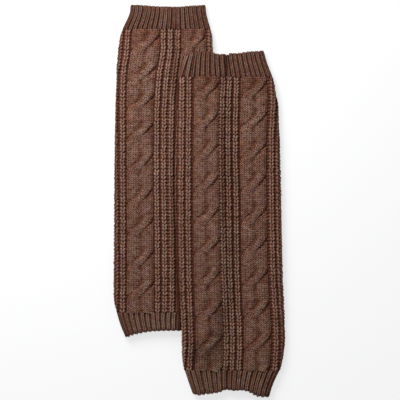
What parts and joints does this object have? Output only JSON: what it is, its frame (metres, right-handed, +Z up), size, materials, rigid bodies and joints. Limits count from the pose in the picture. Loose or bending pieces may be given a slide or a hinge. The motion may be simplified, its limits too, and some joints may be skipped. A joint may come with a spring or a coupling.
{
  "type": "pair of leg warmers",
  "caption": "Pair of cable-knit tube leg warmers with ribbed cuffs, laid flat side by side, one overlapping the other's edge.",
  "frame": {"origin": "centre of the pair's bounding box in plan, on the surface it lies on", "axes": "+X across the pair from the lower leg warmer to the one on top, +Y along the tubes towards their upper cuffs, +Z up off the surface"},
  "size_m": [0.2055, 0.4699, 0.0213],
  "materials": {
    "wool_knit": "matte heathered brown wool, cable knit",
    "wool_rib": "matte heathered brown wool, narrow rib"
  },
  "bodies": {
    "root": {"left_leg_tube": "wool_knit", "left_top_cuff": "wool_rib", "left_bottom_cuff": "wool_rib", "right_leg_tube": "wool_knit", "right_top_cuff": "wool_rib", "right_bottom_cuff": "wool_rib"}
  },
  "joints": []
}
